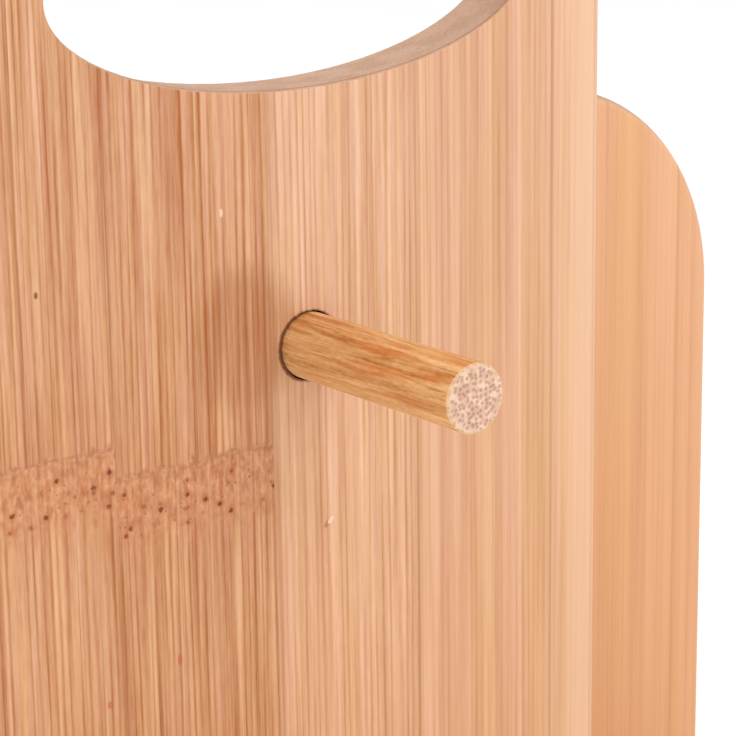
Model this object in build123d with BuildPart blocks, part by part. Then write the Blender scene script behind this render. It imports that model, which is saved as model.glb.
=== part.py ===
"""A countertop paper towel holder in laminated bamboo, built like a small carrying tote.

A base board on four rubber feet carries two wide end panels and two low side rails. A narrower, taller
handle board with an oval hand hole is screwed to the outside of each end panel. A plain round rod lies
in aligned holes through both ends, sticks out at each end, and draws out lengthwise to change the roll.

Millimetres. +Z is up, the rod runs along Y, and the origin is on the table under the middle.
Both ends are alike, so each end piece is modelled at the front (-Y) and mirrored to the rear.
"""

import os

from build123d import *

# The rod, and the holes that it lies in
ROD_DIAMETER = 10.0
ROD_CLEARANCE = 0.25  # radial, so the rod slides and turns by hand
ROD_OVERHANG = 38.0  # what sticks out past each handle board
ROD_END_EASE = 0.3  # the sawn ends are only lightly sanded
ROD_HEIGHT = 100.0  # rod axis above the top of the base board

# Between the end panels there is room for a 279 mm roll
BAY_LENGTH = 290.0

# End panels
PANEL_THICKNESS = 10.0
PANEL_WIDTH = 183.5
PANEL_RISE = 30.5  # top edge above the rod axis
PANEL_CORNER = 37.0
PANEL_EDGE = 1.5  # sanded edge

# Handle boards
HANDLE_THICKNESS = 10.0
HANDLE_WIDTH = 117.5
HANDLE_RISE = 91.0  # top edge above the rod axis
HANDLE_CORNER = 34.0
HANDLE_EDGE = 4.0  # rounded over for the hand
HAND_HOLE_WIDTH = 84.4
HAND_HOLE_HEIGHT = 31.2
HAND_HOLE_RISE = 53.8  # middle of the hand hole above the rod axis
HAND_HOLE_EDGE = 0.5  # sanded edge

# Base board and side rails
BASE_THICKNESS = 12.0
BASE_MARGIN = 4.0  # how far the base board shows all round the uprights
BASE_CORNER = 20.0
BASE_EDGE = 2.5
RAIL_THICKNESS = 12.0
RAIL_HEIGHT = 36.0
RAIL_EDGE = 2.0

# Countersunk wood screws, all of one gauge
SCREW_DIAMETER = 3.5
SCREW_HEAD_DIAMETER = 6.8
SCREW_POINT = 3.0  # length of the tapered tip
SCREW_CLEARANCE = 0.05  # radial, and beyond the tip
SCREW_HEAD_SINK = 0.3  # heads sit this far below the surface
BASE_SCREW_LENGTH = 34.0
HANDLE_SCREW_LENGTH = 16.0
FOOT_SCREW_LENGTH = 10.0
RECESS_WIDTH = 0.9  # cross recess: width and span of its arms, and its depth
RECESS_SPAN = 3.6
RECESS_DEPTH = 1.4

# Where the screws stand
PANEL_SCREW_SPACING = 58.0  # three in a row under each end panel
HANDLE_FOOT_SPACING = 70.0  # two under each handle board
RAIL_SCREW_SPACING = 90.0  # three in a row under each side rail
HANDLE_SCREW_SPACING = 80.0  # across, through the end panel into the handle board
HANDLE_SCREW_DROP = 60.0  # lower pair below the rod axis
HANDLE_SCREW_LIFT = 14.0  # upper pair above the rod axis

# Wooden dowel pins between the side rails and the end panels
DOWEL_DIAMETER = 6.0
DOWEL_CLEARANCE = 0.05  # radial
DOWEL_IN_PANEL = 7.0
DOWEL_IN_RAIL = 16.0
DOWEL_SPACING = 18.0
DOWEL_END_GAP = 0.5  # spare depth at each end for glue
DOWEL_CHAMFER = 0.8

# Rubber feet
FOOT_HEIGHT = 4.0
FOOT_DIAMETER = 18.0
FOOT_TAPER = 1.5  # the foot is this much smaller in radius where it meets the table
FOOT_EDGE = 0.5
FOOT_INSET = 17.0  # middle of the foot, in from the side and the end of the base board
FOOT_POCKET_DIAMETER = 8.0
FOOT_POCKET_DEPTH = 1.6

# Places worked out from the sizes above
BASE_BOTTOM = FOOT_HEIGHT
BASE_TOP = BASE_BOTTOM + BASE_THICKNESS
ROD_AXIS = BASE_TOP + ROD_HEIGHT
RAIL_MIDDLE = BASE_TOP + RAIL_HEIGHT / 2
PANEL_INNER = BAY_LENGTH / 2
PANEL_OUTER = PANEL_INNER + PANEL_THICKNESS
PANEL_MIDDLE = (PANEL_INNER + PANEL_OUTER) / 2
HANDLE_OUTER = PANEL_OUTER + HANDLE_THICKNESS
HANDLE_MIDDLE = (PANEL_OUTER + HANDLE_OUTER) / 2
RAIL_CENTRE = (PANEL_WIDTH - RAIL_THICKNESS) / 2
ROD_LENGTH = 2 * (HANDLE_OUTER + ROD_OVERHANG)
BASE_WIDTH = PANEL_WIDTH + 2 * BASE_MARGIN
BASE_LENGTH = 2 * (HANDLE_OUTER + BASE_MARGIN)
FOOT_X = BASE_WIDTH / 2 - FOOT_INSET
FOOT_Y = BASE_LENGTH / 2 - FOOT_INSET
BORE_RADIUS = ROD_DIAMETER / 2 + ROD_CLEARANCE
DOWEL_HOLE_RADIUS = DOWEL_DIAMETER / 2 + DOWEL_CLEARANCE
SCREW_RADIUS = SCREW_DIAMETER / 2
SCREW_HEAD_RADIUS = SCREW_HEAD_DIAMETER / 2

# Screws driven up through the base board, at the front end and along the right rail
PANEL_SCREWS = [(x, -PANEL_MIDDLE) for x in (-PANEL_SCREW_SPACING, 0, PANEL_SCREW_SPACING)]
HANDLE_FOOT_SCREWS = [(x, -HANDLE_MIDDLE) for x in (-HANDLE_FOOT_SPACING / 2, HANDLE_FOOT_SPACING / 2)]
RAIL_SCREWS = [(RAIL_CENTRE, y) for y in (-RAIL_SCREW_SPACING, 0, RAIL_SCREW_SPACING)]
FOOT_SCREWS = [(x, y) for x in (-FOOT_X, FOOT_X) for y in (-FOOT_Y, FOOT_Y)]

# Screws driven out through the front end panel into its handle board, as places across and up
HANDLE_SCREWS = [
    (x, z)
    for x in (-HANDLE_SCREW_SPACING / 2, HANDLE_SCREW_SPACING / 2)
    for z in (ROD_AXIS - HANDLE_SCREW_DROP, ROD_AXIS + HANDLE_SCREW_LIFT)
]


def save(piece, name):
    """Labels one finished piece and writes it as its own file."""
    piece.part.label = name
    export_step(piece.part, f"parts/{name}.step")


def mirrored(piece, about):
    """The same piece on the other side of a middle plane."""
    with BuildPart() as twin:
        mirror(piece.part, about=about)
    return twin


def wood_screw(length):
    """A countersunk cross-head screw: the head's face is at the origin and the point is up."""
    shank_start = SCREW_HEAD_RADIUS - SCREW_RADIUS  # a 90 degree countersink
    with BuildPart() as screw:
        with BuildSketch(Plane.XZ):
            with BuildLine():
                Polyline(
                    (0, 0),
                    (SCREW_HEAD_RADIUS, 0),
                    (SCREW_RADIUS, shank_start),
                    (SCREW_RADIUS, length - SCREW_POINT),
                    (0, length),
                    close=True,
                )
            make_face()
        revolve(axis=Axis.Z)
        with BuildSketch(Plane.XY):
            Rectangle(RECESS_SPAN, RECESS_WIDTH)
            Rectangle(RECESS_WIDTH, RECESS_SPAN)
        extrude(amount=RECESS_DEPTH, mode=Mode.SUBTRACT)
    return screw


def screw_room(length):
    """The room cut for one screw, with its head sunk below the surface at the origin."""
    radius = SCREW_RADIUS + SCREW_CLEARANCE
    head = SCREW_HEAD_RADIUS + SCREW_CLEARANCE
    depth = SCREW_HEAD_SINK + length + SCREW_CLEARANCE
    with BuildPart() as room:
        with BuildSketch(Plane.XZ):
            with BuildLine():
                Polyline(
                    (0, 0),
                    (head, 0),
                    (head, SCREW_HEAD_SINK),
                    (radius, SCREW_HEAD_SINK + head - radius),
                    (radius, depth - SCREW_POINT),
                    (0, depth),
                    close=True,
                )
            make_face()
        revolve(axis=Axis.Z)
    return room


def upward(places, height):
    """Places for screws that point up, with their heads at one height."""
    return [Location((x, y, height)) for x, y in places]


def outward(places, depth):
    """Places for screws that point out of the front end, with their heads at one depth."""
    return [Location((x, -depth, z), (90, 0, 0)) for x, z in places]


def screw_group(length, places):
    """Several identical screws as one node of separate solids."""
    screw = wood_screw(length)
    with BuildPart() as group:
        with Locations(*places):
            add(screw.part)
    return group


def cut_screw_room(length, places):
    """Cuts the room for several screws out of the piece being made."""
    room = screw_room(length)
    with Locations(*places):
        add(room.part, mode=Mode.SUBTRACT)


def round_rims(board, axis, radius):
    """Rounds the rims of a board's two faces, but not the edge that it stands on."""
    standing = board.edges().group_by(Axis.Z)[0]
    rims = board.faces().filter_by(axis).edges()
    fillet([edge for edge in rims if edge not in standing], radius)


def end_panel():
    """Front end panel: a wide board with large rounded top corners."""
    with BuildPart() as panel:
        with BuildSketch(Plane.XZ.offset(PANEL_INNER)) as outline:
            with Locations((0, BASE_TOP)):
                Rectangle(PANEL_WIDTH, ROD_HEIGHT + PANEL_RISE, align=(Align.CENTER, Align.MIN))
            fillet(outline.vertices().group_by(Axis.Y)[-1], PANEL_CORNER)
        extrude(amount=PANEL_THICKNESS)
        round_rims(panel, Axis.Y, PANEL_EDGE)
        with BuildSketch(Plane.XZ.offset(PANEL_INNER)):
            with Locations((0, ROD_AXIS)):
                Circle(BORE_RADIUS)
        extrude(amount=PANEL_THICKNESS, mode=Mode.SUBTRACT)
        with BuildSketch(Plane.XZ.offset(PANEL_INNER)):
            with Locations((-RAIL_CENTRE, RAIL_MIDDLE), (RAIL_CENTRE, RAIL_MIDDLE)):
                with GridLocations(0, DOWEL_SPACING, 1, 2):
                    Circle(DOWEL_HOLE_RADIUS)
        extrude(amount=DOWEL_IN_PANEL + DOWEL_END_GAP, mode=Mode.SUBTRACT)
        cut_screw_room(BASE_SCREW_LENGTH, upward(PANEL_SCREWS, BASE_BOTTOM))
        cut_screw_room(HANDLE_SCREW_LENGTH, outward(HANDLE_SCREWS, PANEL_INNER))
    return panel


def handle_board():
    """Front handle board: taller and narrower, with an oval hand hole above the rod."""
    with BuildPart() as board:
        with BuildSketch(Plane.XZ.offset(PANEL_OUTER)) as outline:
            with Locations((0, BASE_TOP)):
                Rectangle(HANDLE_WIDTH, ROD_HEIGHT + HANDLE_RISE, align=(Align.CENTER, Align.MIN))
            fillet(outline.vertices().group_by(Axis.Y)[-1], HANDLE_CORNER)
        extrude(amount=HANDLE_THICKNESS)
        round_rims(board, Axis.Y, HANDLE_EDGE)
        with BuildSketch(Plane.XZ.offset(PANEL_OUTER)):
            with Locations((0, ROD_AXIS + HAND_HOLE_RISE)):
                Ellipse(HAND_HOLE_WIDTH / 2, HAND_HOLE_HEIGHT / 2)
        extrude(amount=HANDLE_THICKNESS, mode=Mode.SUBTRACT)
        hole_rims = board.edges().filter_by(GeomType.ELLIPSE)
        fillet(hole_rims, HAND_HOLE_EDGE)
        with BuildSketch(Plane.XZ.offset(PANEL_OUTER)):
            with Locations((0, ROD_AXIS)):
                Circle(BORE_RADIUS)
        extrude(amount=HANDLE_THICKNESS, mode=Mode.SUBTRACT)
        cut_screw_room(BASE_SCREW_LENGTH, upward(HANDLE_FOOT_SCREWS, BASE_BOTTOM))
        cut_screw_room(HANDLE_SCREW_LENGTH, outward(HANDLE_SCREWS, PANEL_INNER))
    return board


def side_rail():
    """Right side rail: a low board between the end panels that stops the roll's edge."""
    with BuildPart() as rail:
        with BuildSketch(Plane.XY.offset(BASE_TOP)):
            with Locations((RAIL_CENTRE, 0)):
                Rectangle(RAIL_THICKNESS, BAY_LENGTH)
        extrude(amount=RAIL_HEIGHT)
        fillet(rail.edges().filter_by(Axis.Y).group_by(Axis.Z)[-1], RAIL_EDGE)
        for end in (-1, 1):
            with BuildSketch(Plane.XZ.offset(end * PANEL_INNER)):
                with Locations((RAIL_CENTRE, RAIL_MIDDLE)):
                    with GridLocations(0, DOWEL_SPACING, 1, 2):
                        Circle(DOWEL_HOLE_RADIUS)
            extrude(amount=-end * (DOWEL_IN_RAIL + DOWEL_END_GAP), mode=Mode.SUBTRACT)
        cut_screw_room(BASE_SCREW_LENGTH, upward(RAIL_SCREWS, BASE_BOTTOM))
    return rail


def rail_dowels():
    """Front dowel pins: two from each side rail into the end panel."""
    with BuildPart() as pins:
        with BuildSketch(Plane.XZ.offset(PANEL_INNER - DOWEL_IN_RAIL)):
            with Locations((-RAIL_CENTRE, RAIL_MIDDLE), (RAIL_CENTRE, RAIL_MIDDLE)):
                with GridLocations(0, DOWEL_SPACING, 1, 2):
                    Circle(DOWEL_DIAMETER / 2)
        extrude(amount=DOWEL_IN_RAIL + DOWEL_IN_PANEL)
        chamfer(pins.edges().filter_by(GeomType.CIRCLE), DOWEL_CHAMFER)
    return pins


def base_board(places):
    """Base board with rounded corners, drilled from below for every screw that comes up through it."""
    with BuildPart() as base:
        with BuildSketch(Plane.XY.offset(BASE_BOTTOM)):
            RectangleRounded(BASE_WIDTH, BASE_LENGTH, BASE_CORNER)
        extrude(amount=BASE_THICKNESS)
        fillet(base.faces().filter_by(Axis.Z).edges(), BASE_EDGE)
        cut_screw_room(BASE_SCREW_LENGTH, upward(places, BASE_BOTTOM))
        cut_screw_room(FOOT_SCREW_LENGTH, upward(FOOT_SCREWS, FOOT_POCKET_DEPTH - SCREW_HEAD_SINK))
    return base


def rubber_foot(x, y):
    """One tapered rubber foot with a pocket for its screw."""
    top = FOOT_DIAMETER / 2
    with BuildPart() as foot:
        with BuildSketch(Plane.XY):
            with Locations((x, y)):
                Circle(top - FOOT_TAPER)
        with BuildSketch(Plane.XY.offset(FOOT_HEIGHT)):
            with Locations((x, y)):
                Circle(top)
        loft()
        fillet(foot.edges().group_by(Axis.Z)[0], FOOT_EDGE)
        with BuildSketch(Plane.XY):
            with Locations((x, y)):
                Circle(FOOT_POCKET_DIAMETER / 2)
        extrude(amount=FOOT_POCKET_DEPTH, mode=Mode.SUBTRACT)
        cut_screw_room(FOOT_SCREW_LENGTH, upward([(x, y)], FOOT_POCKET_DEPTH - SCREW_HEAD_SINK))
    return foot


def roll_rod():
    """The loose round rod that carries the roll."""
    with BuildPart() as rod:
        with BuildSketch(Plane.XZ.offset(-ROD_LENGTH / 2)):
            with Locations((0, ROD_AXIS)):
                Circle(ROD_DIAMETER / 2)
        extrude(amount=ROD_LENGTH)
        chamfer(rod.edges().filter_by(GeomType.CIRCLE), ROD_END_EASE)
    return rod


def both_ends(places):
    """Places at the front end, and the same places at the rear."""
    return places + [(x, -y) for x, y in places]


def both_sides(places):
    """Places along the right side, and the same places along the left."""
    return places + [(-x, y) for x, y in places]


os.makedirs("parts", exist_ok=True)

# The base board and what stands on it
base_places = both_ends(PANEL_SCREWS + HANDLE_FOOT_SCREWS) + both_sides(RAIL_SCREWS)
save(base_board(base_places), "base_board")
front_pieces = {
    "end_panel": end_panel(),
    "handle_board": handle_board(),
    "rail_dowels": rail_dowels(),
    "panel_screws": screw_group(BASE_SCREW_LENGTH, upward(PANEL_SCREWS, BASE_BOTTOM + SCREW_HEAD_SINK)),
    "handle_foot_screws": screw_group(
        BASE_SCREW_LENGTH, upward(HANDLE_FOOT_SCREWS, BASE_BOTTOM + SCREW_HEAD_SINK)
    ),
    "handle_screws": screw_group(
        HANDLE_SCREW_LENGTH, outward(HANDLE_SCREWS, PANEL_INNER + SCREW_HEAD_SINK)
    ),
}
for piece_name, piece in front_pieces.items():
    save(piece, f"front_{piece_name}")
    save(mirrored(piece, Plane.XZ), f"rear_{piece_name}")

right_pieces = {
    "side_rail": side_rail(),
    "rail_screws": screw_group(BASE_SCREW_LENGTH, upward(RAIL_SCREWS, BASE_BOTTOM + SCREW_HEAD_SINK)),
}
for piece_name, piece in right_pieces.items():
    save(piece, f"right_{piece_name}")
    save(mirrored(piece, Plane.YZ), f"left_{piece_name}")

# The feet
for side, foot_x in (("left", -FOOT_X), ("right", FOOT_X)):
    for end, foot_y in (("front", -FOOT_Y), ("rear", FOOT_Y)):
        save(rubber_foot(foot_x, foot_y), f"{end}_{side}_foot")
save(screw_group(FOOT_SCREW_LENGTH, upward(FOOT_SCREWS, FOOT_POCKET_DEPTH)), "foot_screws")

# The one moving piece
save(roll_rod(), "roll_rod")
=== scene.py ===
# %% [markdown]
# # A bamboo paper towel holder, finished for the camera
#
# The holder is a small tote of laminated bamboo: a base on four rubber feet, two wide end panels, two low
# side rails, and a taller handle board with an oval hand hole outside each end. A loose bamboo rod lies
# across it in plain round holes. The frame that is loaded here already has every board, screw and foot in
# its true place, so this script only has to do what a finisher does: choose the bamboo, sand the rod, and
# set up a plain studio. Everything is in metres, with +Z up and the rod along Y.

# %% Load the frame
import math

import bmesh
import bpy
from mathutils import Matrix, Vector


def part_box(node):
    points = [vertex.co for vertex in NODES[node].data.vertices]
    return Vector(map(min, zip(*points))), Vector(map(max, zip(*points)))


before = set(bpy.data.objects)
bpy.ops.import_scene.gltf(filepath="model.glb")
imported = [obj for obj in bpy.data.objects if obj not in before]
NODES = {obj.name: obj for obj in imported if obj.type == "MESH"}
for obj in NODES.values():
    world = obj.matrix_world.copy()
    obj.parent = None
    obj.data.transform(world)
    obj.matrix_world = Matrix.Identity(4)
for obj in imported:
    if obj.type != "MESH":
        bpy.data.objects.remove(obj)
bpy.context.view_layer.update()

# %% [markdown]
# ## Where things are
#
# A finish has to land in the right place: heights on the boards are counted from the rod, and the holder is
# lit and looked at from the spot where the rod comes out of its front. Both are worked out from the boxes
# of the pieces. Finishes are worked out in millimetres, and the studio in metres.

# %% Measure the pieces that the finishes refer to
MM = 0.001
ROD_LOW, ROD_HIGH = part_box("roll_rod")
ROD_AXIS = (ROD_LOW.z + ROD_HIGH.z) / 2
ROD_HEIGHT = ROD_AXIS / MM
ROD_RADIUS = (ROD_HIGH.z - ROD_LOW.z) / 2 / MM
BOARD_LOW, BOARD_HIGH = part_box("front_handle_board")
BOARD_EDGE = BOARD_HIGH.x / MM
FACE_Y = BOARD_LOW.y
ROD_SPOT = Vector((0, FACE_Y, ROD_AXIS))
print(f"rod axis {ROD_HEIGHT:.1f} mm up, front face at y = {FACE_Y / MM:.1f} mm")

# %% [markdown]
# ## Shader maths as plain Python
#
# A node tree is easier to read as a sum than as a drawing. `Wire` wraps one output socket. Adding or
# multiplying wires adds a Math node, and every other node comes from `Finish.node`, which sets the node's
# own options first and then fills its sockets. The reflected operators let a number stand on the left,
# as in `1 - mask`.


# %% A wire is one output of a node
class Wire:
    def __init__(self, finish, socket):
        self.finish = finish
        self.socket = socket

    def math(self, operation, *others):
        inputs = dict(enumerate((self,) + others))
        return self.finish.node("ShaderNodeMath", {"operation": operation}, inputs)

    def reflected(self, operation, other):
        return self.finish.node("ShaderNodeMath", {"operation": operation}, {0: other, 1: self})

    def __add__(self, other):
        return self.math("ADD", other)

    __radd__ = __add__

    def __mul__(self, other):
        return self.math("MULTIPLY", other)

    __rmul__ = __mul__

    def __sub__(self, other):
        return self.math("SUBTRACT", other)

    def __rsub__(self, other):
        return self.reflected("SUBTRACT", other)

    def __truediv__(self, other):
        return self.math("DIVIDE", other)

    def __rtruediv__(self, other):
        return self.reflected("DIVIDE", other)

    def __gt__(self, other):
        return self.math("GREATER_THAN", other)

    def __lt__(self, other):
        return self.math("LESS_THAN", other)

    def size(self):
        return self.math("ABSOLUTE")

    def floor(self):
        return self.math("FLOOR")

    def fraction(self):
        return self.math("FRACT")

    def sine(self):
        return self.math("SINE")

    def most(self, other):
        return self.math("MAXIMUM", other)

    def ramp(self, low, high, start=0.0, end=1.0):
        """Rises smoothly from start to end while the wire goes from low to high."""
        inputs = {0: self, 1: low, 2: high, 3: start, 4: end}
        return self.finish.node("ShaderNodeMapRange", {"interpolation_type": "SMOOTHSTEP"}, inputs)


# %% [markdown]
# A `Finish` is one material. Its `node` method is the only place where nodes are made. The few helpers after
# it are the words that a wood finisher needs: where a point is on the piece, which way it faces, smooth
# unevenness, a draw by lot, and one colour laid over another.


# %% A finish is one material and its nodes
class Finish:
    def __init__(self, name):
        self.material = bpy.data.materials.new(name)
        self.material.use_nodes = True
        self.tree = self.material.node_tree
        self.tree.nodes.clear()

    def node(self, kind, settings=None, inputs=None, output=0):
        """Makes any node: its own settings first, then the values or links of its sockets."""
        made = self.tree.nodes.new(kind)
        for key, value in (settings or {}).items():
            setattr(made, key, value)
        for key, value in (inputs or {}).items():
            if isinstance(value, Wire):
                self.tree.links.new(value.socket, made.inputs[key])
            else:
                made.inputs[key].default_value = value
        return Wire(self, made.outputs[output]) if made.outputs else None

    def split(self, vector):
        parts = self.node("ShaderNodeSeparateXYZ", inputs={0: vector})
        return [Wire(self, socket) for socket in parts.socket.node.outputs]

    def join(self, x, y, z):
        return self.node("ShaderNodeCombineXYZ", inputs={0: x, 1: y, 2: z})

    def place(self):
        """Where a point is on the piece, in millimetres, as three wires."""
        return [axis * (1 / MM) for axis in self.split(self.node("ShaderNodeTexCoord", output="Object"))]

    def facing(self):
        """How much a point faces along X, Y and Z, from 0 to 1."""
        return [axis.size() for axis in self.split(self.node("ShaderNodeTexCoord", output="Normal"))]

    def reach(self, x, y):
        """How far a point is from the zero of a plane."""
        flat = self.join(x, y, 0.0)
        return self.node("ShaderNodeVectorMath", {"operation": "LENGTH"}, {0: flat}, output="Value")

    def noise(self, vector, detail=2.0):
        inputs = {"Vector": vector, "Scale": 1.0, "Detail": detail, "Roughness": 0.5}
        return self.node("ShaderNodeTexNoise", inputs=inputs)

    def chance(self, *numbers):
        """A steady random number from 0 to 1 for each set of whole numbers."""
        padded = (list(numbers) + [0.0, 0.0])[:3]
        inputs = {"Vector": self.join(*padded)}
        return self.node("ShaderNodeTexWhiteNoise", {"noise_dimensions": "3D"}, inputs)

    def lay(self, under, over, amount, how="MIX"):
        """One colour laid over another, by an amount from 0 to 1."""
        inputs = {0: amount, 6: under, 7: over}
        return self.node("ShaderNodeMix", {"data_type": "RGBA", "blend_type": how}, inputs, output=2)

    def surface(self, colour, roughness, height, depth, shine=0.5, metallic=0.0):
        """Ends the tree in one Principled surface. height is in 0 to 1, and depth in millimetres."""
        bump = self.node("ShaderNodeBump", inputs={"Strength": 1.0, "Distance": depth * MM, "Height": height})
        inputs = {"Base Color": colour, "Roughness": roughness, "Normal": bump}
        inputs.update({"Specular IOR Level": shine, "Metallic": metallic})
        shader = self.node("ShaderNodeBsdfPrincipled", inputs=inputs)
        self.node("ShaderNodeOutputMaterial", inputs={"Surface": shader})
        return self.material


# %% [markdown]
# ## Colours
#
# The colours are written the way a paint card gives them, from 0 to 255 for the screen, and turned into the
# linear values that a renderer adds up. Bamboo strips come from different canes, so there are four families,
# each with a dark, a light and a thread colour: honey is the darkest, cream is paler and pinker, pale is
# the outermost wood, and peach is the even, warm one of the front end panel. The tints are multiplied in.


# %% Paint-card colours as linear light
def linear(value):
    """The sRGB curve, from 0 to 255 on a screen to 0 to 1 of light."""
    value = value / 255
    return value / 12.92 if value <= 0.04045 else ((value + 0.055) / 1.055) ** 2.4


def shade(red, green, blue):
    return (linear(red), linear(green), linear(blue), 1.0)


HONEY = {"dark": shade(167, 97, 46), "light": shade(225, 179, 142), "thread": shade(146, 80, 34)}
CREAM = {"dark": shade(191, 136, 94), "light": shade(233, 191, 160), "thread": shade(176, 115, 72)}
PALE = {"dark": shade(208, 162, 123), "light": shade(234, 194, 163), "thread": shade(194, 145, 106)}
PEACH = {"dark": shade(195, 136, 89), "light": shade(238, 190, 150), "thread": shade(180, 116, 69)}
GOLD_TINT = (1.0, 0.985, 0.895, 1.0)
PINK_TINT = (1.0, 0.965, 1.0, 1.0)
# Painted shade: the next tint darkens the upright boards towards the bottom.
LOW_SHADE_TINT = (0.945, 0.87, 0.755, 1.0)
PITH = shade(203, 166, 143)
PITH_SHADOW = shade(186, 149, 120)
RIM_BROWN = shade(158, 104, 60)
BUNDLE = shade(140, 104, 82)
GAP_SHADE_BROWN = shade(104, 44, 12)
for family, colours in {"honey": HONEY, "cream": CREAM, "pale": PALE, "peach": PEACH}.items():
    print(family, "light is", [round(value, 3) for value in colours["light"][:3]])

# %% [markdown]
# ## Laminated bamboo
#
# A board is glued up from strips split out of the cane wall, laid side by side. What the eye reads is
#
# - the strips: each one has its own colour, and a hair-thin glue line beside it,
# - the fibres: long, nearly straight streaks of several widths, the thinnest ones darkest,
# - the nodes: the rings of the cane, left as a ragged dark line with rusty smears and dark pores under it,
# - the cut ends: pale pith full of small dark dots, each the end of a fibre bundle.
#
# All of this could be painted, but a painted image stretches on a rounded edge. Here it is worked out in
# space from the distance across the strips, along the fibres and through the board, so that the streaks
# run over the edges and turn into dots where the saw has cut across them.


# %% Fibres of one width and length
def fibres(f, across, along, through, width, length, detail=2.0):
    """Streaks of noise about zero: width and length are those of one streak, in millimetres."""
    return f.noise(f.join(across / width, along / length, through / width), detail) - 0.5


def dots(f, across, along, spacing, radius, share=1.0, loose=1.0):
    """Round dots in a plane: spacing and radius in millimetres, share of cells that have one, and how
    loosely they are scattered, from 0 for rows to 1."""
    inputs = {"Vector": f.join(across / spacing, along / spacing, 0.0), "Scale": 1.0, "Randomness": loose}
    distance = f.node("ShaderNodeTexVoronoi", {"voronoi_dimensions": "2D"}, inputs)
    draw = f.split(Wire(f, distance.socket.node.outputs["Color"]))[0]
    return distance.ramp(0.6 * radius / spacing, 1.4 * radius / spacing, 1.0, 0.0) * (draw < share)


def spot(f, across, along, middle, half_width, half_height):
    """One oval mark with a soft edge."""
    u = (across - middle[0]) / half_width
    v = (along - middle[1]) / half_height
    return (u * u + v * v).ramp(0.4, 1.5, 1.0, 0.0)


# %% [markdown]
# The node of a cane is the one thing in bamboo that everybody recognises. It is a scar: the fibres stop at a
# scalloped line, what lies just under the line is stained, and a few fibre bundles turn outwards there
# and are sliced through as dark round pores. The line's scallops are worked out first, because the fibres
# above and below it don't meet.

# %% A node across one strip
NODE_LINE = shade(148, 84, 52)
NODE_STAIN = (0.93, 0.83, 0.76, 1.0)
NODE_SCAR = shade(208, 147, 103)
NODE_PALE = shade(226, 168, 130)
NODE_PORE = shade(112, 44, 4)
NODE_RUST = shade(182, 94, 48)
PORE_SPACING = 2.6


def scalloped(f, across, below):
    """Bends a straight node line into low arches of uneven width. below is in millimetres."""
    arches = (across * 0.8 + f.noise(f.join(across / 4, 1.7, 0.0), 1.0) * 5).sine().size()
    ragged = f.noise(f.join(across / 0.9, below / 2.0, 0.0), 3.0)
    return below - (arches * 0.6 + ragged * 2.2 - 1.5)


def cane_node(f, colour, across, straight, below):
    """Adds a node to a colour, and gives its relief too. straight and below are millimetres under the
    straight and the scalloped line."""
    patchy = f.noise(f.join(across / 1.3, straight / 0.8, 3.0), 3.0)
    line = (below - 0.1).size().ramp(0.1, 1.1, 1.0, 0.0) * patchy.ramp(0.38, 0.6)
    stain = below.ramp(-1.2, 1.0) * straight.ramp(5.0, 14.0, 1.0, 0.0)
    grit = f.noise(f.join(across / 0.7, straight / 1.5, 5.0), 2.0)
    blotch = f.noise(f.join(across / 1.2, straight / 2.8, 9.0), 3.0)
    near = straight.ramp(-16.0, 0.0, 0.0, 0.4) * straight.ramp(0.0, 20.0, 1.0, 0.0)
    below_line = straight.ramp(-0.5, 1.5) * straight.ramp(7.0, 22.0, 1.0, 0.0)
    smear = fibres(f, across, straight, 7.0, width=0.8, length=7.0, detail=3.0).ramp(0.02, 0.2)
    colour = f.lay(colour, NODE_STAIN, stain.most(near), "MULTIPLY")
    colour = f.lay(colour, NODE_SCAR, stain * 0.5)
    colour = f.lay(colour, NODE_RUST, smear * below_line * 0.4)
    colour = f.lay(colour, NODE_LINE, blotch.ramp(0.44, 0.72) * stain * 0.5)
    colour = f.lay(colour, NODE_PALE, grit.ramp(0.48, 0.78) * stain * 0.55)
    colour = f.lay(colour, NODE_LINE, grit.ramp(0.5, 0.25) * stain * 0.36)
    colour = f.lay(colour, NODE_LINE, line * 0.42)
    pitted = straight.ramp(1.8, 2.6) * straight.ramp(8.6, 9.6, 1.0, 0.0)
    pitted = pitted * f.noise(f.join(across / 2.5, straight / 2.5, 1.0), 1.0).ramp(0.3, 0.6, 0.25, 1.0)
    bent = across + (grit - 0.5) * 0.7
    halo = dots(f, across, straight, spacing=PORE_SPACING, radius=0.9, share=0.5) * pitted
    pores = dots(f, bent, straight, spacing=PORE_SPACING, radius=0.36, share=0.5) * pitted
    specks = dots(f, bent, straight, spacing=1.2, radius=0.18, share=0.3) * pitted
    colour = f.lay(colour, NODE_RUST, halo * 0.4)
    return f.lay(colour, NODE_PORE, pores * 0.9 + specks * 0.5), pores * 0.15 + line * 0.25


# %% [markdown]
# The grain comes next. A strip is planed through rows of fibre bundles, so it shows streaks of four sizes and
# one regular rib about a millimetre apart, with a few long dark threads on top. Each layer is the same kind
# of noise, stretched along the strip. The layers are shifted sideways against each other, or they would
# all be dark in the same places.

# %% The grain of a strip
GROOVE_PITCH = 1.15


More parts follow.
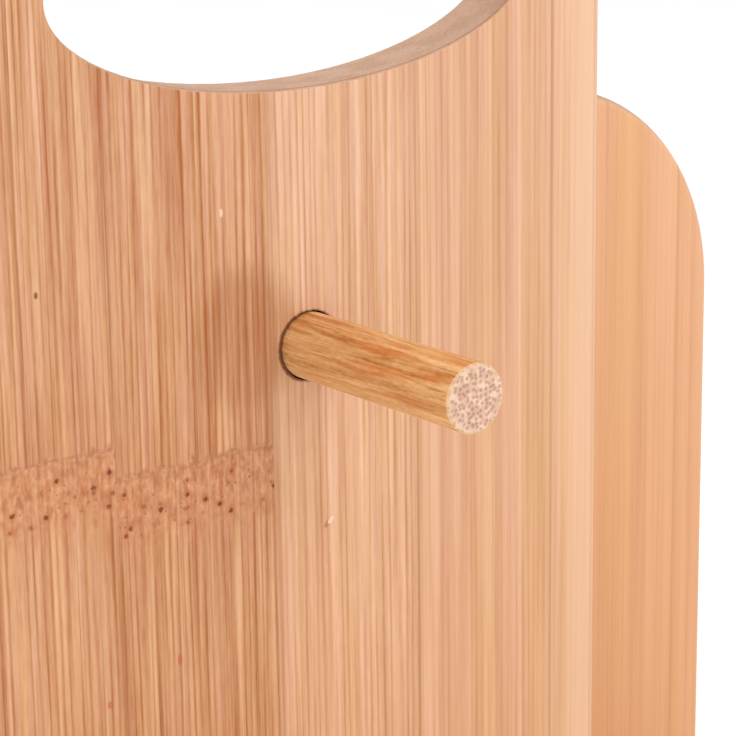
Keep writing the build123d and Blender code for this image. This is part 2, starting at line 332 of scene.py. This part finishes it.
def grain(f, across, along, deep, honey, soft):
    """The tone of the grain about zero, and its relief. soft gives broad bands in place of crisp fibres."""
    broad = fibres(f, across, along, deep, width=3.2, length=300.0, detail=1.0)
    medium = fibres(f, across + 40, along, deep, width=1.0, length=60.0, detail=1.0)
    fine = fibres(f, across + 80, along, deep, width=0.55, length=22.0, detail=1.0)
    fleck = fibres(f, across + 160, along, deep, width=0.3, length=3.5, detail=1.0)
    drift = f.noise(f.join(across / 3.5, along / 120, 4.0), 1.0)
    groove = (across * (math.pi / GROOVE_PITCH) + drift * 5).sine().size().ramp(0.0, 0.85, 1.0, 0.0)
    groove = groove * f.noise(f.join(across / 2.5, along / 60, 8.0), 1.0).ramp(0.32, 0.54)
    crisp = medium + fine * 0.55 + fleck * 0.35 + 0.07 - groove * (0.37 - honey * 0.04)
    tone = broad * (soft * 0.55 + 0.4) + crisp * (1 - soft * 0.6) + soft * 0.07
    return tone, medium * 0.5 + fine * 0.6 + fleck * 0.2


def threads(f, across, along, deep):
    """Long dark threads that come and go along the strip."""
    thread = fibres(f, across + 120, along, deep, width=0.7, length=110.0, detail=1.0).ramp(0.08, 0.24)
    return thread * f.noise(f.join(across / 5, along / 26, 0.0), 1.0).ramp(0.35, 0.65, 0.2, 1.0)


def tint(f, across, along, deep, soft):
    """Gold and pink tints that wander over the strip, in fine streaks or in broad ones where it is soft."""
    narrow = f.noise(f.join(across / 1.5, along / 45, deep), 2.0)
    wide = f.noise(f.join(across / 5, along / 150, deep), 1.0)
    return f.lay(GOLD_TINT, PINK_TINT, (narrow * (1 - soft) + wide * soft).ramp(0.35, 0.65))


# %% [markdown]
# Where a saw or a drill has crossed the fibres, the wood looks different again. A cut end is matt pith with a
# fine speckle, a cloudy change of tone and the ends of the fibre bundles as dots. The holes for the rod are
# drilled, and the brown ring round each one is painted shade for the dark gap between rod and hole, wider
# on the left.

# %% Cut ends, and painted shade round the rod's holes
def cut_end(f, across, along, through, bundles):
    speckle = f.noise(f.join(across / 0.6, through / 0.6, along / 0.6), 3.0).ramp(0.25, 0.75)
    cloud = f.noise(f.join(across / 5, through / 3, along / 5), 2.0).ramp(0.35, 0.65)
    end = f.lay(PITH, PITH_SHADOW, speckle * 0.45 + cloud * 0.55)
    return f.lay(end, BUNDLE, bundles * 0.16)


def sanded_rim(broadside, cut):
    """The dark line where a cut end is sanded over to the broad face."""
    return broadside.ramp(0.02, 0.25) * broadside.ramp(0.35, 0.75, 1.0, 0.0) * cut


def gap_shade_ring(f, across, along, x):
    """Painted shade round the rod's hole: how brown the ring is that stands for the dark gap between rod and
    hole, wider on the left. x is counted from the hole.
    """
    left = x.ramp(-ROD_RADIUS - 0.5, 0.0, 0.35, 0.0)
    ring_edge = left + f.noise(f.join(across / 0.5, along / 0.9, 0.0), 2.0) * 0.5 + ROD_RADIUS
    return (f.reach(x, along - ROD_HEIGHT) - ring_edge).ramp(-0.05, 0.35, 0.9, 0.0)


# %% [markdown]
# One function puts a board together. `across_axis` and `along_axis` name the axes that the strips are laid on
# and that their fibres follow, and `lot` is the board's own lot of bamboo, so that no two boards look
# copied. The strips are counted from a glue line, and each strip's number shifts its grain to a new place.

# %% Laminated bamboo board
STRIP = 27.1
GLUE_LINE = 0.1


def board_finish(
    name, across_axis, along_axis, joint, lot, pick,
    calm=1.0, node_height=None, shade_below=None, marks=None, plain=CREAM,
):
    """pick gives a strip's honey, pale and soft shares, joint is where a glue line lies, calm lowers the
    contrast, node_height gives each strip's node, the height after it is where painted shade begins that
    darkens the board towards the bottom, marks adds odd flecks and painted light and shade, and plain is the
    colour family of the strips that are neither honey nor pale."""
    f = Finish(name)
    place = dict(zip("XYZ", f.place()))
    facing = dict(zip("XYZ", f.facing()))
    through_axis = ({"X", "Y", "Z"} - {across_axis, along_axis}).pop()
    across = place[across_axis] - joint
    along = place[along_axis]
    through = place[through_axis]
    number = (across / STRIP).floor()
    honey, pale, soft = pick(f, number)

    wander = f.noise(f.join(along / 160, number * 7.3 + lot, across / 40), 1.0) * 0.45
    moved = across + wander + number * 61.7 + lot * 13.1
    if node_height is not None:
        straight = node_height(f, number) - along
        below = scalloped(f, across, straight)
        moved = moved + (below > 0.0) * honey * 9.7
    deep = through * 0.6 + lot * 5.9
    tone, relief = grain(f, moved, along, deep, honey, soft)

    usual = f.lay(plain["dark"], plain["light"], tone * calm * 1.05 + 0.5)
    amber = f.lay(HONEY["dark"], HONEY["light"], tone * calm * 1.12 + 0.5)
    blond = f.lay(PALE["dark"], PALE["light"], tone * calm * 0.8 + 0.5)
    colour = f.lay(f.lay(usual, amber, honey), blond, pale)
    colour = f.lay(colour, tint(f, moved, along, deep, soft), 1.0, "MULTIPLY")
    thread = threads(f, moved, along, deep)
    dark = f.lay(plain["thread"], HONEY["thread"], honey)
    colour = f.lay(colour, dark, thread * (honey * 0.3 + 0.35) * (1 - pale * 0.75) * calm)
    # Painted shade: below the given height the board is multiplied darker, fully so 90 mm under it.
    if shade_below is not None:
        colour = f.lay(colour, LOW_SHADE_TINT, along.ramp(shade_below - 90, shade_below + 50, 1.0, 0.0), "MULTIPLY")

    from_glue = STRIP / 2 - ((across / STRIP).fraction() - 0.5).size() * STRIP
    glue = from_glue.ramp(GLUE_LINE, GLUE_LINE * 3, 1.0, 0.0)
    shadow = from_glue.ramp(0.2, 2.2, 1.0, 0.0)
    colour = f.lay(colour, HONEY["thread"], (glue * 0.26 + shadow * 0.1) * calm)
    relief = relief - thread * 0.35 - glue * 0.5
    if node_height is not None:
        marked, scar = cane_node(f, colour, across + number * 5.0, straight, below)
        colour = f.lay(colour, marked, honey)
        relief = relief - scar * honey * 0.6
    if marks is not None:
        colour = marks(f, colour, across + joint, along)

    cut = facing[along_axis].ramp(0.35, 0.65)
    bundles = dots(f, across, through, spacing=0.8, radius=0.2, share=0.9, loose=0.8)
    colour = f.lay(colour, cut_end(f, across, along, through, bundles), cut)
    colour = f.lay(colour, RIM_BROWN, sanded_rim(facing[through_axis], cut) * 0.55)
    # Painted shade: a brown ring round the rod's hole, for the dark gap between rod and hole.
    if across_axis + along_axis == "XZ":
        colour = f.lay(colour, GAP_SHADE_BROWN, gap_shade_ring(f, across, along, across + joint))
    roughness = tone * 0.12 + cut * 0.25 + thread * 0.1 + 0.48
    height = relief * (1 - cut) - bundles * cut * 0.4
    return f.surface(colour, roughness, height, depth=0.05, shine=0.3)


# %% [markdown]
# ## Which bamboo goes where
#
# The strips of the front handle board are set out from the rod: one glue line runs just left of it. The two
# strips left of that line are honey coloured and carry a node each, a little lower on the right one. The
# others are cream, and the outermost strip is the palest. A few small marks make it one board among many,
# and painted light and shade are laid on too: the rod's shadow left of its hole, a highlight along the
# rounded outer edge and a shadow beside one pale fleck.

# %% Finish of the front handle board
FRONT_GLUE_LINE = -7.1


def front_pick(f, number):
    return number < -0.5, (number > 1.5) * 0.5, (number > 0.5) * 0.8


def front_nodes(f, number):
    return number * -4.6 - 18.4 + ROD_HEIGHT


def front_marks(f, colour, x, z):
    """A painted shadow of the rod, a brown patch left of its hole, a painted highlight along the rounded
    outer edge with a thin darker line in it, two torn-out fibres that show pale wood, the lower one with a
    painted shadow beside it, one dark pore and two rusty pits."""
    z = z - ROD_HEIGHT
    # Painted shadow of the rod: a soft brown patch left of its hole, broken into streaks along the grain.
    shadow_streaks = f.noise(f.join(x / 0.9, z / 30, 6.0), 2.0).ramp(0.3, 0.7, 0.45, 1.0)
    colour = f.lay(colour, HONEY["thread"], spot(f, x, z, (-12.0, 3.0), 9.5, 10.5) * shadow_streaks * 0.46)
    # Painted highlight along the rounded outer edge: a pale band, with a thin darker line in it.
    from_edge = BOARD_EDGE - x
    colour = f.lay(colour, PALE["light"], (from_edge - 4.75).size().ramp(0.8, 4.6, 0.4, 0.0))
    colour = f.lay(colour, CREAM["dark"], (from_edge - 2.55).size().ramp(0.1, 0.6, 0.35, 0.0))
    colour = f.lay(colour, NODE_PORE, spot(f, x, z, (-45.7, 14.7), 0.3, 0.5) * 0.8)
    colour = f.lay(colour, PALE["light"], spot(f, x, z, (-15.1, 21.9), 0.28, 0.62))
    # Painted shadow: a dark crescent to the lower left of the pale fleck that is laid next.
    colour = f.lay(colour, NODE_LINE, spot(f, x - z * 0.6, z, (19.4, -28.1), 0.55, 0.65) * 0.55)
    colour = f.lay(colour, PALE["light"], spot(f, x - z * 0.6, z, (19.8, -27.7), 0.5, 0.55))
    colour = f.lay(colour, NODE_RUST, spot(f, x, z, (-24.6, -43.2), 0.4, 0.9) * 0.7)
    return f.lay(colour, NODE_RUST, spot(f, x, z, (-36.8, -47.1), 0.4, 0.6) * 0.7)


FRONT = board_finish(
    "bamboo_front_handle", "X", "Z", FRONT_GLUE_LINE, 1.0, front_pick,
    node_height=front_nodes, shade_below=ROD_HEIGHT, marks=front_marks,
)
print(FRONT.name, "has", len(FRONT.node_tree.nodes), "nodes")

# %% [markdown]
# The other boards are drawn by lot: a random number from the strip's number and the board's lot says whether
# it is honey or pale, how soft its grain is and where its node lies. The draw is steady, so the holder looks
# the same each time. The front end panel is the exception. It is one calm, peach-coloured piece.


# %% Finishes of the other boards
def drawn_pick(share, lot):
    """Draws honey strips by lot, makes a few of the others pale, and gives each its own softness."""

    def pick(f, number):
        pale = (f.chance(number, lot + 3) < 0.25) * 0.7
        return f.chance(number, lot) < share, pale, f.chance(number, lot + 11) * 0.8

    return pick


def drawn_nodes(lot, middle, spread):
    """Draws each strip's node by lot, somewhere in a stretch of the board."""

    def height(f, number):
        return (f.chance(number, lot + 7) - 0.5) * spread + middle

    return height


def calm_pick(f, number):
    return 0.0, 0.0, 1.0


def rail_finish(side, lot):
    return board_finish(
        f"bamboo_{side}_rail", "Z", "Y", 34.0, lot, drawn_pick(0.5, lot),
        node_height=drawn_nodes(lot, 0, 260),
    )


REAR = board_finish(
    "bamboo_rear_handle", "X", "Z", 4.0, 2.0, drawn_pick(0.5, 2.0),
    node_height=drawn_nodes(2.0, 110, 150), shade_below=ROD_HEIGHT,
)
FRONT_PANEL = board_finish(
    "bamboo_front_panel", "X", "Z", 3.0, 3.0, calm_pick,
    calm=0.5, shade_below=ROD_HEIGHT, plain=PEACH,
)
REAR_PANEL = board_finish(
    "bamboo_rear_panel", "X", "Z", -9.0, 4.0, drawn_pick(0.3, 4.0),
    calm=0.8, node_height=drawn_nodes(4.0, 80, 110), shade_below=ROD_HEIGHT,
)
BASE = board_finish(
    "bamboo_base", "X", "Y", 2.0, 5.0, drawn_pick(0.35, 5.0),
    calm=0.9, node_height=drawn_nodes(5.0, 0, 300),
)
RAILS = {"left": rail_finish("left", 6.0), "right": rail_finish("right", 7.0)}
print("other boards:", [finish.name for finish in (REAR, FRONT_PANEL, REAR_PANEL, BASE, *RAILS.values())])

# %% [markdown]
# ## The rod
#
# The rod is turned from a solid stick of cane wall, so it is darker and more golden than the boards, with its
# fibres running from end to end. The saw cut shows them end on: over a hundred grey-brown dots on pinkish
# pith. The side and the end are two short functions, and the finish changes from one to the other where
# the surface turns to face along the rod.

# %% Finish of the rod
ROD = {"dark": shade(184, 113, 46), "light": shade(242, 194, 136), "thread": shade(138, 76, 30)}
ROD_RUST = shade(202, 108, 38)
ROD_GOLD = shade(232, 184, 112)
ROD_PITH = shade(232, 195, 168)
ROD_PITH_SHADOW = shade(208, 167, 142)
ROD_FIBRE = shade(146, 98, 86)
ROD_RIM = shade(238, 212, 172)


def rod_side(f, x, y, z, rise, lot):
    """Colour, tone and relief of the turned side. rise is the height above the rod's axis."""
    side = x + f.noise(f.join(y / 60, lot, 0.0), 1.0) * 0.8
    up = z + lot * 11
    broad = fibres(f, side, y, up, width=2.0, length=45.0, detail=1.0)
    medium = fibres(f, side + 9, y, up, width=0.75, length=16.0, detail=2.0)
    fine = fibres(f, side + 19, y, up, width=0.34, length=6.0, detail=2.0)
    fleck = fibres(f, side + 29, y, up, width=0.34, length=1.3, detail=2.0)
    tone = broad * 1.1 + medium * 1.5 + fine * 0.9 + fleck * 0.8
    # Painted light: the tone rises towards the bottom of the rod, as light bouncing up from the floor would
    # lift its lower side.
    colour = f.lay(ROD["dark"], ROD["light"], tone + 0.57 - rise * 0.03)
    rust = fibres(f, side + 39, y, up, width=1.1, length=16.0, detail=3.0).ramp(0.0, 0.2)
    colour = f.lay(colour, ROD_RUST, rust * rise.ramp(-ROD_RADIUS, 4.0, 0.25, 0.7))
    patch = fibres(f, side + 59, y, up, width=2.4, length=9.0, detail=2.0).ramp(0.0, 0.22)
    colour = f.lay(colour, ROD_GOLD, patch * rise.ramp(-ROD_RADIUS, 4.0, 0.6, 0.25))
    thread = fibres(f, side + 49, y, up, width=0.4, length=9.0, detail=2.0).ramp(0.1, 0.24)
    colour = f.lay(colour, ROD["thread"], thread * 0.45)
    return colour, tone, medium * 0.7 + fine * 0.6 + fleck * 0.3 - thread * 0.5


def rod_end(f, x, z, rise):
    """Colour of the sawn end, and its fibre bundles."""
    mottle = f.noise(f.join(x / 1.6, z / 1.6, 0.0), 3.0).ramp(0.35, 0.65)
    pushed = x + f.noise(f.join(x / 0.7, z / 0.7, 2.0), 1.0) * 0.3
    bundles = dots(f, pushed, z, spacing=0.78, radius=0.27, share=0.97, loose=0.8)
    small = dots(f, x + 5, z, spacing=0.45, radius=0.12, share=0.6)
    end = f.lay(ROD_PITH, ROD_PITH_SHADOW, mottle)
    end = f.lay(end, ROD_FIBRE, bundles * 0.5 + small * 0.12)
    rim = (f.reach(x, rise) + mottle * 0.7).ramp(ROD_RADIUS - 0.6, ROD_RADIUS + 0.4)
    return f.lay(end, ROD_RIM, rim * 0.45), bundles


def rod_finish(name, lot):
    f = Finish(name)
    x, y, z = f.place()
    rise = z - ROD_HEIGHT
    colour, tone, relief = rod_side(f, x, y, z, rise, lot)
    end, bundles = rod_end(f, x, z, rise)
    cut = f.facing()[1].ramp(0.5, 0.85)
    height = relief * (1 - cut) - bundles * cut * 0.6
    roughness = tone * 0.1 + cut * 0.3 + 0.42
    return f.surface(f.lay(colour, end, cut), roughness, height, depth=0.09, shine=0.35)


ROD_WOOD = rod_finish("bamboo_rod", 1.0)
print(ROD_WOOD.name, "has", len(ROD_WOOD.node_tree.nodes), "nodes")

# %% [markdown]
# ## Steel, rubber and dowel pins
#
# The screws are zinc plated: a light grey metal with fine turning marks and a slightly cloudy shine. The feet
# are moulded rubber, which is matt with a faint speckle and picks up pale dust. The dowel pins are hidden
# in the boards, and get a plain birch with a little grain for whoever takes the holder apart.


# %% Small-part finishes
def steel_finish():
    f = Finish("zinc_plated_steel")
    x, y, z = f.place()
    cloud = f.noise(f.join(x / 1.5, y / 1.5, z / 1.5), 3.0)
    marks = f.noise(f.join(x / 0.08, y / 0.08, z / 2.0), 2.0)
    colour = f.lay(shade(176, 176, 172), shade(214, 212, 204), cloud)
    return f.surface(colour, cloud * 0.2 + marks * 0.1 + 0.22, marks, depth=0.01, metallic=1.0)


def rubber_finish():
    f = Finish("moulded_rubber")
    x, y, z = f.place()
    speckle = f.noise(f.join(x / 0.25, y / 0.25, z / 0.25), 3.0)
    dust = f.noise(f.join(x / 3, y / 3, z / 3), 3.0).ramp(0.45, 0.75)
    colour = f.lay(shade(38, 38, 39), shade(58, 57, 56), speckle)
    colour = f.lay(colour, shade(118, 110, 100), dust * 0.18)
    return f.surface(colour, dust * 0.12 + 0.72, speckle, depth=0.04, shine=0.35)


def birch_finish():
    f = Finish("birch_dowel")
    x, y, z = f.place()
    figure = f.noise(f.join(x / 0.5, y / 14, z / 0.5), 3.0)
    colour = f.lay(shade(205, 172, 128), shade(232, 206, 166), figure.ramp(0.3, 0.7))
    return f.surface(colour, figure * 0.15 + 0.55, figure, depth=0.04, shine=0.3)


STEEL = steel_finish()
RUBBER = rubber_finish()
BIRCH = birch_finish()
print("small parts:", STEEL.name, RUBBER.name, BIRCH.name)

# %% [markdown]
# Each piece of the frame now gets one finish. The boards and the rod are named one by one. The screws, feet
# and dowel pins are found by the words in their names.

# %% Give every piece its finish
BAMBOO = {
    "front_handle_board": FRONT,
    "rear_handle_board": REAR,
    "front_end_panel": FRONT_PANEL,
    "rear_end_panel": REAR_PANEL,
    "base_board": BASE,
    "left_side_rail": RAILS["left"],
    "right_side_rail": RAILS["right"],
    "roll_rod": ROD_WOOD,
}


def finish_for(name):
    if "screws" in name:
        return STEEL
    if "dowels" in name:
        return BIRCH
    if name.endswith("_foot"):
        return RUBBER
    return BAMBOO[name]


for node_name, piece in NODES.items():
    piece.data.materials.clear()
    piece.data.materials.append(finish_for(node_name))
    print(node_name, "->", finish_for(node_name).name)

# %% [markdown]
# ## The studio
#
# A plain pale floor, an even white surround and two large soft lights. The surround does most of the work,
# as a light tent does, which is why the rod throws hardly any shadow of its own on the board. The soft
# shadow left of the rod's hole is painted into the front board's colour.


# %% Floor
FLOOR_HALF = 20.0


def make_floor(half):
    mesh = bpy.data.meshes.new("floor")
    shape = bmesh.new()
    corners = ((-half, -half), (half, -half), (half, half), (-half, half))
    shape.faces.new([shape.verts.new((x, y, 0.0)) for x, y in corners])
    shape.to_mesh(mesh)
    shape.free()
    floor = bpy.data.objects.new("floor", mesh)
    bpy.context.scene.collection.objects.link(floor)
    return floor


def paper_finish():
    f = Finish("studio_paper")
    x, y, z = f.place()
    mottle = f.noise(f.join(x / 60, y / 60, 0.0), 3.0)
    colour = f.lay(shade(240, 240, 240), shade(246, 246, 246), mottle)
    return f.surface(colour, mottle * 0.05 + 0.8, mottle, depth=0.05, shine=0.1)


FLOOR = make_floor(FLOOR_HALF)
FLOOR.data.materials.append(paper_finish())
print(f"floor {2 * FLOOR_HALF:.0f} m across")

# %% [markdown]
# The surround is the world's own light: one white, a little under full strength, from everywhere. The two
# soft lights are wide discs, because a wide light has a soft edge to its shadow. One stands in front and to
# the right. The other hangs high up on the left, a little behind the holder.

# %% Surround and soft lights
SURROUND = 0.97
scene = bpy.context.scene
world = bpy.data.worlds.new("light_tent")
world.use_nodes = True
background = world.node_tree.nodes["Background"]
background.inputs["Color"].default_value = (1.0, 1.0, 1.0, 1.0)
background.inputs["Strength"].default_value = SURROUND
scene.world = world


def soft_light(name, away, width, power):
    """A disc of light that stands away from the rod's spot and shines at it."""
    lamp = bpy.data.lights.new(name, "AREA")
    lamp.shape = "DISK"
    lamp.size = width
    lamp.energy = power
    light = bpy.data.objects.new(name, lamp)
    light.location = ROD_SPOT + away
    light.rotation_euler = (-away).to_track_quat("-Z", "Y").to_euler()
    scene.collection.objects.link(light)
    print(name, f"{away.length:.2f} m away, {width} m wide, {power} W")


soft_light("front_softbox", away=Vector((0.5, -1.4, 1.1)), width=1.2, power=9.5)
soft_light("top_softbox", away=Vector((-0.6, 0.5, 1.8)), width=1.6, power=9.0)

# %% [markdown]
# ## The camera
#
# A long lens stands to the left of the front end, a little above the rod, and looks down past it. It is
# close, so the rod's tip grows towards the eye. The place and the lens are kept as plain notes: how far from
# the rod's spot, how far round, how high, where it points, and how much it leans. The way to the camera and
# the way it looks are worked out alike, from an angle round the upright and an angle above the level.

# %% Camera
DISTANCE = 0.3816
ROUND = math.radians(-36.0)
HIGH = math.radians(14.61)
HEADING = math.radians(37.31)
DOWN = math.radians(15.135)
LEAN = math.radians(-0.85)
LENS = 126.9
FILM_WIDTH = 36.0


def direction(turn, climb):
    """One step the way that is turned from +Y towards +X, and tilted up by climb."""
    return Vector((math.sin(turn) * math.cos(climb), math.cos(turn) * math.cos(climb), math.sin(climb)))


eye = ROD_SPOT + DISTANCE * direction(math.pi - ROUND, HIGH)
look = direction(HEADING, -DOWN)
level = look.cross(Vector((0, 0, 1))).normalized()
upright = level.cross(look)
right = level * math.cos(LEAN) + upright * math.sin(LEAN)
top = upright * math.cos(LEAN) - level * math.sin(LEAN)
camera_data = bpy.data.cameras.new("camera")
camera_data.lens = LENS
camera_data.sensor_width = FILM_WIDTH
camera_data.clip_start = 0.01
camera = bpy.data.objects.new("camera", camera_data)
camera.matrix_world = Matrix.Translation(eye) @ Matrix((right, top, -look)).transposed().to_4x4()
scene.collection.objects.link(camera)
scene.camera = camera
scene.view_settings.view_transform = "Standard"
print("camera at", [round(v, 4) for v in eye])
